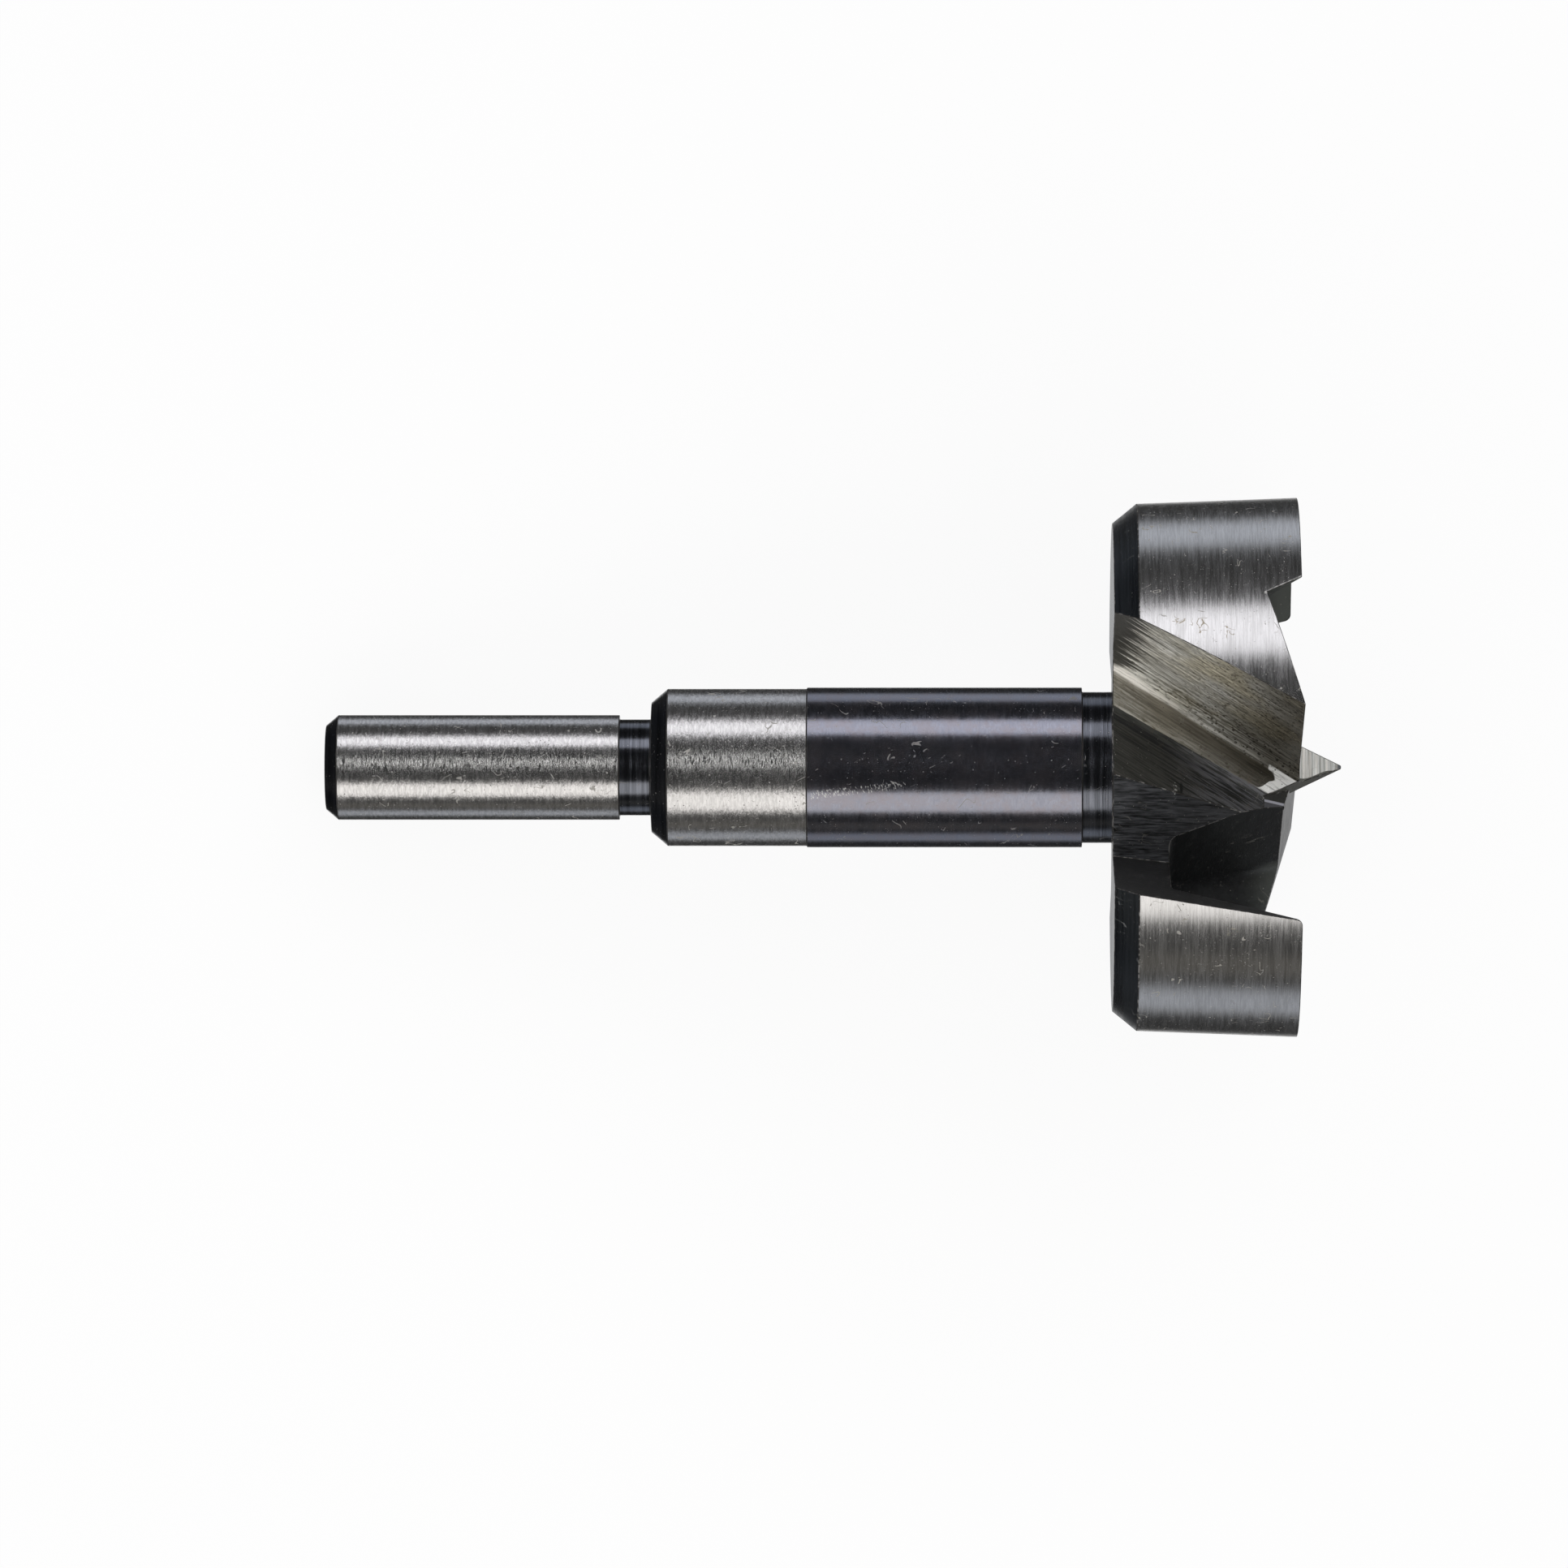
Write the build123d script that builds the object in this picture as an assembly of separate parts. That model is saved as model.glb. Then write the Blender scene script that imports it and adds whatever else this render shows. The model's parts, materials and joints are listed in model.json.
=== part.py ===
from build123d import *
import os
from math import atan2, cos, degrees, radians, sin, tan

# Forstner bit, one piece of tool steel, in millimetres.
# It is built upright: the axis is Z, the shank's end is at Z = 0 and the centre point is up.
# The first cutting edge lies along +X and faces +Y. All that is cut into the head comes twice, half a turn apart.
# At the end it is laid down as it comes to rest, with the head towards +X and one gullet looking up.

# Turned blank, from the shank's end to the front of the head
shank_diameter = 10.0
shank_length = 28.0
shank_end_chamfer_height = 1.17
shank_end_chamfer_width = 0.98
shank_neck_diameter = 9.15
shank_neck_length = 3.05
body_diameter = 15.0
body_back_face_diameter = 12.4
body_back_dome_height = 0.1
body_back_chamfer_height = 1.55
body_ground_length = 13.27
body_blued_diameter = 15.26
body_blued_length = 26.18
head_neck_diameter = 14.4
head_neck_length = 2.88
head_diameter = 51.4
head_height = 17.77
head_back_chamfer_height = 2.31
head_back_chamfer_width = 1.87
head_wall_taper = 2.12

# Gullets: a ground rake face that runs back at a slant, a corner radius, two milled floors and a trailing wall
edge_lead = 0.94
rake_slant = 29.8
rake_corner_radius = 4.95
inner_floor_rise = 16.7
inner_floor_turn = 21.0
inner_floor_clearance = 0.08
outer_floor_rise = 9.6
outer_floor_turn = 47.5
outer_floor_clearance = 1.15
trailing_wall_angle = 49.2
trailing_wall_turn = 25.3
trailing_wall_slant = 9.4

# Relief behind each cutting edge, and the notch where the rim starts
relief_angle = 16.5
notch_distance = 11.68
notch_face_slant = 27.2
rim_drop = 0.18

# Pockets between the bars and the rim
web_thickness = 5.4
bar_width = 4.9
bar_wall_draft = 19.0
rim_edge_width = 0.25
rim_inner_draft = 25.0
pocket_radius = 1.0
pocket_corner_radius = 3.0
rim_tail_radius = 0.7

# Centre point, ground to a pyramid, and the gash that runs down from its flank into the other bar
point_height = 4.05
point_far_corner_x = 2.55
point_far_corner_y = -1.5
point_near_corner_x = 1.7
point_near_corner_y = 1.97
point_blunting = 0.35
point_root = 1.0
gash_depth = 1.4
gash_floor_slope = 42.0
gash_reach = 8.0

# How far a cut runs past the surface that it opens
overrun = 1.2

# Stations along the axis that follow from the lengths
body_start = shank_length + shank_neck_length
ground_start = body_start + body_back_chamfer_height
blued_start = ground_start + body_ground_length
blued_end = blued_start + body_blued_length
head_back = blued_end + head_neck_length
wall_start = head_back + head_back_chamfer_height
edge_plane = head_back + head_height
rim_plane = edge_plane - rim_drop
pocket_floor = head_back + web_thickness
tip = edge_plane + point_height
reach = head_diameter


def wall_radius(station):
    """Radius of the ground outer wall, which tapers towards the back so that it clears the hole."""
    return head_diameter / 2 - (edge_plane - station) * tan(radians(head_wall_taper))


def half_space(origin, normal):
    """Block on the side of a plane that its normal points to."""
    plane = Plane(origin=origin, z_dir=normal)
    return plane * Box(3 * reach, 3 * reach, reach, align=(Align.CENTER, Align.CENTER, Align.MIN))


def turned_blank():
    """The whole bit as it leaves the lathe, up to the plane of the cutting edges."""
    outline = Polyline(
        (0, 0),
        (shank_diameter / 2 - shank_end_chamfer_width, 0),
        (shank_diameter / 2, shank_end_chamfer_height),
        (shank_diameter / 2, shank_length),
        (shank_neck_diameter / 2, shank_length),
        (shank_neck_diameter / 2, body_start - body_back_dome_height),
        (body_back_face_diameter / 2, body_start),
        (body_diameter / 2, ground_start),
        (body_diameter / 2, blued_start),
        (body_blued_diameter / 2, blued_start),
        (body_blued_diameter / 2, blued_end),
        (head_neck_diameter / 2, blued_end),
        (head_neck_diameter / 2, head_back),
        (wall_radius(wall_start) - head_back_chamfer_width, head_back),
        (wall_radius(wall_start), wall_start),
        (wall_radius(edge_plane), edge_plane),
        (0, edge_plane),
        close=True,
    )
    return revolve(Plane.XZ * make_face(outline), Axis.Z)


def rake_and_inner_floor():
    """Slanted channel with the rake face, the corner radius and the inner floor, which just clears the neck."""
    turn = radians(inner_floor_turn)
    radius = rake_corner_radius
    rake_y = edge_lead - head_height * tan(radians(rake_slant))
    centre_y = rake_y + radius
    floor_distance = head_neck_diameter / 2 + inner_floor_clearance
    centre_x = (floor_distance + radius + centre_y * sin(turn)) / cos(turn)
    middle = radians(225) - turn / 2
    arc = ThreePointArc(
        (centre_x, rake_y),
        (centre_x + radius * cos(middle), centre_y + radius * sin(middle)),
        (centre_x - radius * cos(turn), centre_y + radius * sin(turn)),
    )
    floor_end = arc @ 1 + Vector(sin(turn), cos(turn)) * reach
    rest = Polyline(arc @ 1, floor_end, (reach, floor_end.Y), (reach, rake_y), arc @ 0)
    section = Pos(0, 0, head_back) * make_face(arc + rest)
    forward = Vector(-tan(radians(inner_floor_rise)), tan(radians(rake_slant)), 1)
    back = -overrun * forward
    section = Pos(*back) * section
    return Solid.extrude(section.face(), forward * (head_height + 2 * overrun))


def gullet():
    """Space ahead of the first cutting edge, from the rake face round to the trailing wall of the other rim."""
    turn = radians(outer_floor_turn)
    distance = head_neck_diameter / 2 + outer_floor_clearance
    outer_floor = half_space(
        (distance * cos(turn), distance * sin(turn), head_back),
        (cos(turn), sin(turn), tan(radians(outer_floor_rise))),
    )
    ahead_of_rake = half_space((0, edge_lead, edge_plane), (0, 1, -tan(radians(rake_slant))))
    around = radians(trailing_wall_angle)
    turn = radians(trailing_wall_turn)
    before_trailing_wall = half_space(
        (wall_radius(rim_plane) * cos(around), wall_radius(rim_plane) * sin(around), rim_plane),
        (sin(turn), -cos(turn), tan(radians(trailing_wall_slant))),
    )
    return (rake_and_inner_floor() + outer_floor) & ahead_of_rake & before_trailing_wall


def notch_y(station):
    """Where the slanted face that starts the rim stands at a station."""
    root_y = edge_lead - notch_distance
    root_station = edge_plane - notch_distance * tan(radians(relief_angle))
    return root_y - (station - root_station) * tan(radians(notch_face_slant))


def relief():
    """Space behind the first cutting edge, down to the sloping relief face and back to the notch."""
    root = (edge_lead - notch_distance, edge_plane - notch_distance * tan(radians(relief_angle)))
    outline = Polyline(
        (edge_lead, edge_plane),
        root,
        (notch_y(tip), tip),
        (edge_lead, tip),
        close=True,
    )
    return extrude(Plane.YZ * make_face(outline), reach)


def rim_trim():
    """Thin slice that leaves the rim a little lower than the cutting edges."""
    outline = Polyline(
        (notch_y(rim_plane), rim_plane),
        (-reach, rim_plane),
        (-reach, tip),
        (notch_y(tip), tip),
        close=True,
    )
    return extrude(Plane.YZ * make_face(outline), reach, both=True)


def pocket():
    """Pocket behind the first bar, with drafted walls and rounded corners, open to the next gullet."""
    inner = wall_radius(rim_plane) - rim_edge_width
    draft = tan(radians(rim_inner_draft))
    outline = Polyline(
        (0, pocket_floor),
        (inner - (rim_plane - pocket_floor) * draft, pocket_floor),
        (inner + (tip - rim_plane) * draft, tip),
        (0, tip),
        close=True,
    )
    bowl = revolve(Plane.XZ * make_face(outline), Axis.Z)
    wall_station = edge_plane - bar_width * tan(radians(relief_angle))
    behind_bar = half_space(
        (0, edge_lead - bar_width, wall_station),
        (0, -1, tan(radians(bar_wall_draft))),
    )
    tool = bowl & behind_bar
    lower = tool.edges().group_by(Axis.Z)[0]
    upper = tool.edges().group_by(Axis.Z)[-1]
    tool = fillet(tool.edges() - lower - upper, pocket_corner_radius)
    return fillet(tool.edges().group_by(Axis.Z)[0], pocket_radius)


def point_sides():
    """Space outside the two flat sides of the centre point that meet at its corner near the first edge."""
    apex = Vector(0, 0, tip + point_blunting)
    far = Vector(point_far_corner_x, point_far_corner_y, edge_plane)
    near = Vector(point_near_corner_x, point_near_corner_y, edge_plane)
    far_again = Vector(-point_far_corner_x, -point_far_corner_y, edge_plane)
    narrow = half_space(apex, (far - apex).cross(near - apex))
    wide = half_space(apex, (near - apex).cross(far_again - apex))
    return narrow, wide


def gash():
    """Space ahead of the wide side of the centre point, down to a small floor that slopes to the gullet."""
    slope = radians(gash_floor_slope)
    above_floor = half_space((0, 0, edge_plane - gash_depth), (sin(slope), 0, cos(slope)))
    room = Pos(0, 0, edge_plane) * Cylinder(gash_reach, 2 * gash_reach)
    return room & point_sides()[1] & above_floor


def centre_point():
    """Stub ground to a blunt pyramid, with its root in the core."""
    stub = Box(reach, reach, point_root + point_height, align=(Align.CENTER, Align.CENTER, Align.MAX))
    stub = Pos(0, 0, tip) * stub
    for side in point_sides():
        stub = stub - side - Rot(0, 0, 180) * side
    return stub


def with_rounded_tails(bit):
    """The same head with the front corners rounded where the rims end at the trailing walls."""
    around = radians(trailing_wall_angle)
    corner = Vector(cos(around), sin(around)) * wall_radius(rim_plane)
    near_rim = (rim_plane - rim_drop / 2, rim_plane + rim_drop / 2)
    ends = bit.edges().filter_by(GeomType.LINE).filter_by_position(Axis.Z, *near_rim)
    axis_point = Vector(0, 0, rim_plane)
    tails = ends.sort_by(lambda end: min((end.center() - axis_point + side * corner).length for side in (-1, 1)))
    return fillet(tails[:2], rim_tail_radius)


def forstner_bit():
    """Blank, then every cut twice, then the centre point."""
    bit = turned_blank()
    for cut in (pocket(), gullet(), relief(), rim_trim(), gash()):
        bit = bit - cut - Rot(0, 0, 180) * cut
    return with_rounded_tails(bit + centre_point())


def resting_tilt(points, roll):
    """Slope of the axis when the bit lies on its shank and on the lowest of these points of its head."""
    down = Vector(cos(radians(roll)), sin(radians(roll)))
    slopes = [
        atan2(point.dot(down) - shank_diameter / 2, point.Z - shank_end_chamfer_height)
        for point in points
    ]
    return degrees(max(slopes))


def laid_down(bit):
    """The bit at rest on a flat surface, on both lips of one gullet, with its origin below its middle."""
    head_edges = bit.edges().filter_by_position(Axis.Z, head_back, tip)
    points = [edge @ (step / 16) for edge in head_edges for step in range(17)]
    gullet_middle = 180 + trailing_wall_angle / 2
    rolls = [gullet_middle + step / 10 for step in range(-400, 401)]
    roll = min(rolls, key=lambda angle: resting_tilt(points, angle))
    tilt = radians(resting_tilt(points, roll))
    ground = Plane(origin=(0, 0, 0), x_dir=(sin(tilt), 0, -cos(tilt)), z_dir=(cos(tilt), 0, sin(tilt)))
    laid = ground * Rot(0, 0, -roll) * bit
    box = laid.bounding_box()
    return Pos(-box.center().X, -box.center().Y, -box.min.Z) * laid


if __name__ == "__main__":
    os.makedirs("parts", exist_ok=True)
    bit = laid_down(forstner_bit())
    export_step(bit, "parts/forstner_bit.step")
    print("volume", round(bit.volume), "mm3, size", bit.bounding_box().size)
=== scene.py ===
import json
from math import cos, hypot, pi, radians, sin, tan

import bpy
from mathutils import Matrix, Vector


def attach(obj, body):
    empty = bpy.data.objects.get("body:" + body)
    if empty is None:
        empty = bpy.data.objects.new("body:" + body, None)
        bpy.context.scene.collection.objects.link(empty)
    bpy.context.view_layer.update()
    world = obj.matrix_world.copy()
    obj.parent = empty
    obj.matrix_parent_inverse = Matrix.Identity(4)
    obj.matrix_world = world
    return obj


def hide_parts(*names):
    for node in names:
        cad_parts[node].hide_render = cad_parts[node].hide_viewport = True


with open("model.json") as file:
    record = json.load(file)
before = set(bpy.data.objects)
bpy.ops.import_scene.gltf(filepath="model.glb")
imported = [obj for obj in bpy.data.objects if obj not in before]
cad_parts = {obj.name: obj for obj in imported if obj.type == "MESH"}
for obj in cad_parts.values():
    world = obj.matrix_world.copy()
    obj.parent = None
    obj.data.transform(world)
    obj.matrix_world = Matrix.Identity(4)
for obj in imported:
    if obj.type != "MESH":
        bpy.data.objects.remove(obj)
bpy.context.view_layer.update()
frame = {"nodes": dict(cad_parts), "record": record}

# The bit's own upright frame: its axis is Z, its shank ends at Z = 0 and its first cutting edge lies along
# +X. The bit lies on its shank and on the two lips of one gullet. The shank's mount gives the axis, and the
# roll is the turn at which both lips touch the table.
MM = 0.001
shank_end_chamfer = 1.17 * MM
roll = radians(194.1)
shank = frame["record"]["mounts"][0]
axis = -Vector(shank["axis"])
shank_end = Vector(shank["pos_m"]) - axis * (shank["dims"]["length_mm"] / 2 * MM + shank_end_chamfer)
down = Vector((axis.z, 0, -axis.x))
turned = Matrix((down, axis.cross(down), axis)).transposed() @ Matrix.Rotation(-roll, 3, "Z")
to_row = Matrix.Translation(shank_end) @ turned.to_4x4()
to_bit = to_row.inverted()


# Camera, square above the bit's axis and a little round from the first cutting edge, as in the photograph.
# It stands nearer to the head than the point it looks at, so it sees only a little of the head's back.
view_turn = radians(15.2)
view_distance = 1161 * MM
view_station = 60.2 * MM
aim_station = 43.66 * MM
aim_drop = 1.58 * MM
field_width = 149.54 * MM
towards_viewer = turned @ Vector((cos(view_turn), sin(view_turn), 0))
picture_up = turned @ Vector((sin(view_turn), -cos(view_turn), 0))
aim = to_row @ Vector((0, 0, aim_station)) - picture_up * aim_drop
eye = aim + axis * (view_station - aim_station) + towards_viewer * view_distance
camera_data = bpy.data.cameras.new("viewpoint")
camera_data.sensor_width = 36
camera_data.lens = camera_data.sensor_width * (eye - aim).length / field_width
camera_data.clip_start = 10 * MM
camera = bpy.data.objects.new("viewpoint", camera_data)
bpy.context.scene.collection.objects.link(camera)
backwards = (eye - aim).normalized()
rightwards = picture_up.cross(backwards).normalized()
upwards = backwards.cross(rightwards)
camera_turn = Matrix((rightwards, upwards, backwards)).transposed()
camera.matrix_world = Matrix.Translation(eye) @ camera_turn.to_4x4()
bpy.context.scene.camera = camera


# The bit is one piece of tool steel, turned, milled, hardened and blackened, and then ground bright where it
# has to be true. Its solid is given fine rounded edges here, and the exact normals of its turned surfaces.
# Stations are distances from the shank's end, and these lengths are all in millimetres.
stations = {
    "shank_start": 1.17,
    "shank_stop": 28.0,
    "body_start": 32.6,
    "blued_start": 45.87,
    "blued_stop": 72.05,
    "head_back": 74.93,
    "wall_start": 77.25,
    "rim_plane": 92.52,
    "edge_plane": 92.70,
}
head_radius = 25.7
wall_taper = radians(2.12)
rake_slant = radians(29.8)
relief_angle = radians(16.5)
notch_slant = radians(27.2)
notch_distance = 11.68
gash_slope = radians(42)
inner_floor_turn = radians(21)
inner_floor_rise = radians(16.7)
outer_floor_turn = radians(47.5)
outer_floor_rise = radians(9.6)
trailing_wall_turn = radians(25.3)
trailing_wall_slant = radians(9.4)

FINISHES = [
    "ground_shank",
    "blackened_turning",
    "ground_body",
    "blued_body",
    "head_back",
    "ground_wall",
    "swept_cut",
    "milled_outer_floor",
    "milled_trailing_wall",
    "ground_relief",
    "blackened_pocket",
    "ground_point",
    "point_flank",
    "gash_floor",
    "worn_edge",
]
TURNED = ("ground_shank", "ground_body", "blued_body", "ground_wall", "blackened_turning", "head_back")


# The rake face runs on into a corner radius and the inner floor, all swept back at one slant: these place
# the middle of that radius where it meets the head's back face.
edge_lead = 0.94
corner_radius = 4.95
floor_distance = 7.28
sweep = Vector((-tan(inner_floor_rise), tan(rake_slant), 1))
up_floor = Vector((sin(inner_floor_turn), cos(inner_floor_turn), 0))
corner_y = edge_lead - (stations["edge_plane"] - stations["head_back"]) * tan(rake_slant) + corner_radius
corner_x = (floor_distance + corner_radius + corner_y * sin(inner_floor_turn)) / cos(inner_floor_turn)
rake_face = Vector((0, cos(rake_slant), -sin(rake_slant)))
inner_floor = up_floor.cross(sweep).normalized()
flats = {
    "milled_outer_floor": Vector(
        (cos(outer_floor_turn), sin(outer_floor_turn), tan(outer_floor_rise))
    ).normalized(),
    "milled_trailing_wall": Vector(
        (sin(trailing_wall_turn), -cos(trailing_wall_turn), tan(trailing_wall_slant))
    ).normalized(),
    "ground_relief": Vector((0, -sin(relief_angle), cos(relief_angle))),
    "point_flank": Vector((-0.1, 0.923, 0.371)).normalized(),
    "gash_floor": Vector((sin(gash_slope), 0, cos(gash_slope))),
}


# How far a facet's middle may lie from its plane, from the swept cut and from the wall, and the cosine at
# which two planes count as one.
slack = 0.01
facet_depth = 0.05
chord_depth = 0.12
same_plane = 0.9995


def swept_surface(place):
    """Normal of the first gullet's swept cut near a place, and how far off the cut the place is."""
    section = place - sweep * (place.z - stations["head_back"])
    out = Vector((corner_x - section.x, corner_y - section.y, 0))
    if out.x < 0:
        return rake_face, out.y - corner_radius
    if out.dot(up_floor) < 0:
        return inner_floor, out.x * up_floor.y - out.y * up_floor.x - corner_radius
    normal = sweep.cross(Vector((-out.y, out.x, 0))).normalized()
    return (normal if normal.dot(out) > 0 else -normal), out.length - corner_radius


def finish_of(centre, normal):
    """Name of the finish of a face, from its middle and its normal in the bit's own frame."""
    station = centre.z
    radius = hypot(centre.x, centre.y)
    looks_back = normal.z < -0.5 and station < stations["head_back"] - 1
    if station < stations["shank_start"] or looks_back:
        return "blackened_turning"
    if station < stations["shank_stop"] - slack:
        return "ground_shank"
    if station < stations["body_start"]:
        return "blackened_turning"
    if station < stations["blued_start"] - slack:
        return "ground_body"
    if station < stations["blued_stop"] + slack:
        return "blued_body"
    if station < stations["head_back"] - slack:
        return "blackened_turning"
    outward = (normal.x * centre.x + normal.y * centre.y) / max(radius, slack)
    back_or_chamfer = normal.z < -0.3 and outward > -0.3 and outward - normal.z > 0.9
    if back_or_chamfer and station < stations["wall_start"]:
        return "head_back"
    wall_radius = head_radius - (stations["edge_plane"] - station) * tan(wall_taper)
    if radius > wall_radius - chord_depth and outward > 0.97:
        return "ground_wall"
    for side in (1, -1):
        cut_normal, off = swept_surface(Vector((side * centre.x, side * centre.y, centre.z)))
        facing = cut_normal.dot(Vector((side * normal.x, side * normal.y, normal.z)))
        if abs(off) < facet_depth and facing > 0.8:
            return "swept_cut"
    for name, flat in flats.items():
        other = Vector((-flat.x, -flat.y, flat.z))
        if max(normal.dot(flat), normal.dot(other)) > same_plane:
            return name
    if station > stations["edge_plane"] + slack:
        side = normal if normal.x > 0 else Vector((-normal.x, -normal.y, normal.z))
        return "ground_point" if side.y < 0.3 else "point_flank"
    if normal.z > 0.99 and station > stations["rim_plane"] - facet_depth:
        return "ground_relief"
    return "blackened_pocket"


node = frame["nodes"]["forstner_bit"]
bit = bpy.data.objects.new("steel_bit", node.data.copy())
bpy.context.scene.collection.objects.link(bit)
bpy.ops.object.select_all(action="DESELECT")
bpy.context.view_layer.objects.active = bit
bit.select_set(True)
bpy.ops.object.mode_set(mode="EDIT")
bpy.ops.mesh.select_all(action="SELECT")
bpy.ops.mesh.customdata_custom_splitnormals_clear()
bpy.ops.mesh.remove_doubles(threshold=0.0005 * MM)
bpy.ops.mesh.dissolve_limited(angle_limit=radians(0.1))
bpy.ops.object.mode_set(mode="OBJECT")

bit.data.materials.clear()
for name in FINISHES:
    bit.data.materials.append(bpy.data.materials.new(name))
for face in bit.data.polygons:
    centre = to_bit @ face.center / MM
    normal = to_bit.to_3x3() @ face.normal
    face.material_index = FINISHES.index(finish_of(centre, normal))

# Only true corners are rounded: the sharp folds that aren't facets of the corner radius.
rounded_fold = radians(24)
folds = {}
for face in bit.data.polygons:
    for key in face.edge_keys:
        folds.setdefault(key, []).append(face)
weights = bit.data.attributes.new("bevel_weight_edge", "FLOAT", "EDGE")
swept = FINISHES.index("swept_cut")
for edge in bit.data.edges:
    sides = folds[edge.key]
    if len(sides) == 2 and sides[0].normal.angle(sides[1].normal) > rounded_fold:
        inside_sweep = sides[0].material_index == sides[1].material_index == swept
        weights.data[edge.index].value = 0 if inside_sweep else 1
# How much a worn edge counts beside the faces when a point's normal is averaged.
worn_share = 0.0001
edge_rounding = bit.modifiers.new("edge rounding", "BEVEL")
edge_rounding.limit_method = "WEIGHT"
edge_rounding.width = 0.07 * MM
edge_rounding.segments = 2
edge_rounding.use_clamp_overlap = False
edge_rounding.material = FINISHES.index("worn_edge")
bpy.ops.object.modifier_apply(modifier=edge_rounding.name)
bpy.ops.object.shade_smooth()


def set_normals(piece):
    """Gives each point the true normal of the surface it lies on, with the worn edges in between."""
    mesh = piece.data
    total = [Vector() for _ in mesh.vertices]
    worn = FINISHES.index("worn_edge")
    turned_ones = {FINISHES.index(name) for name in TURNED}
    for face in mesh.polygons:
        local = to_bit.to_3x3() @ face.normal
        local.normalize()
        weight = face.area / MM / MM * (worn_share if face.material_index == worn else 1)
        for index in face.vertices:
            normal = local
            place = to_bit @ mesh.vertices[index].co / MM
            if face.material_index in turned_ones and abs(local.z) < 0.99:
                flat = Vector((place.x, place.y, 0)).normalized() * hypot(local.x, local.y)
                normal = Vector((flat.x, flat.y, local.z))
            if face.material_index == swept:
                side = 1 if local.dot(rake_face + inner_floor) > 0.5 else -1
                there, _ = swept_surface(Vector((side * place.x, side * place.y, place.z)))
                normal = Vector((side * there.x, side * there.y, there.z))
            total[index] += normal * weight
    mesh.normals_split_custom_set_from_vertices([(turned @ one).normalized() for one in total])


set_normals(bit)
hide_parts("forstner_bit")
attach(bit, "root")


# Finishes. Every pattern is laid out in the bit's own frame, in millimetres, so that it goes round with the
# turned surfaces and runs along the milled ones.
def add(tree, kind, inputs, **settings):
    """Adds a node, sets its options, and fills its inputs with values or with other nodes' sockets."""
    made = tree.nodes.new("ShaderNode" + kind)
    for option, value in settings.items():
        setattr(made, option, value)
    for name, value in inputs.items():
        if isinstance(value, bpy.types.NodeSocket):
            tree.links.new(value, made.inputs[name])
        else:
            made.inputs[name].default_value = value
    return made


def math(tree, operation, *values):
    """Result of a Math node."""
    return add(tree, "Math", dict(enumerate(values)), operation=operation).outputs[0]


def times(tree, *values):
    """Product of two or more values."""
    product = values[0]
    for value in values[1:]:
        product = math(tree, "MULTIPLY", product, value)
    return product


def noise(tree, place, scale, detail=2.0, **shape):
    """Value of a noise texture."""
    return add(tree, "TexNoise", {"Vector": place, "Scale": scale, "Detail": detail, **shape}).outputs[0]


def ramp(tree, value, low, high, start=0.0, stop=1.0):
    """Value eased from start to stop while the input goes from low to high."""
    ends = {"Value": value, "From Min": low, "From Max": high, "To Min": start, "To Max": stop}
    return add(tree, "MapRange", ends, interpolation_type="SMOOTHSTEP").outputs["Result"]


def mixed(tree, factor, first, second, mode="MIX"):
    """Colour between two colours, which have the inputs 6 and 7 of the node and come out of its output 2."""
    inputs = {"Factor": factor}
    for index, colour in ((6, first), (7, second)):
        inputs[index] = colour if isinstance(colour, bpy.types.NodeSocket) else (*colour, 1)
    return add(tree, "Mix", inputs, data_type="RGBA", blend_type=mode).outputs[2]


def new_group(name, inputs, outputs):
    """Empty shader node group with its sockets, and the nodes at its two ends."""
    group = bpy.data.node_groups.new(name, "ShaderNodeTree")
    for socket, kind in inputs.items():
        group.interface.new_socket(socket, in_out="INPUT", socket_type="NodeSocket" + kind)
    for socket, kind in outputs.items():
        group.interface.new_socket(socket, in_out="OUTPUT", socket_type="NodeSocket" + kind)
    return group, group.nodes.new("NodeGroupInput"), group.nodes.new("NodeGroupOutput")


def use(tree, group, inputs):
    """Places a node group in a tree."""
    return add(tree, "Group", inputs, node_tree=group)


# The place in the bit's own frame and its station along the axis.
bit_place, _, ends = new_group("bit_place", {}, {"Place": "Vector", "Station": "Float"})
coordinates = add(bit_place, "TexCoord", {})
upright = {
    "Vector": coordinates.outputs["Object"],
    "Location": shank_end,
    "Rotation": turned.to_euler(),
    "Scale": (MM, MM, MM),
}
local = add(bit_place, "Mapping", upright, vector_type="TEXTURE").outputs[0]
bit_place.links.new(local, ends.inputs["Place"])
bit_place.links.new(add(bit_place, "SeparateXYZ", {0: local}).outputs["Z"], ends.inputs["Station"])

# Tool marks of two sizes: fine lines, and streaks that are broader than the lines by Breadth.
tool_marks, start, ends = new_group(
    "tool_marks", {"Along": "Vector", "Breadth": "Float"}, {"Lines": "Float", "Streaks": "Float"}
)
fine = noise(tool_marks, start.outputs["Along"], 1.0, 4.0, Roughness=0.65)
finer = math(tool_marks, "DIVIDE", 1.0, start.outputs["Breadth"])
broad = add(tool_marks, "VectorMath", {0: start.outputs["Along"], "Scale": finer}, operation="SCALE")
broad = noise(tool_marks, broad.outputs[0], 1.0, 3.0)
tool_marks.links.new(ramp(tool_marks, fine, 0.35, 0.65), ends.inputs["Lines"])
tool_marks.links.new(ramp(tool_marks, broad, 0.32, 0.68), ends.inputs["Streaks"])

# What handling leaves: thin curled hairs and scratches, pale dust, dark pits and brown stains.
amounts = {"Hairs": "Float", "Dust": "Float", "Pits": "Float", "Stains": "Float"}
wear, start, ends = new_group("handling_wear", {"Place": "Vector", **amounts}, amounts)


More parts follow.
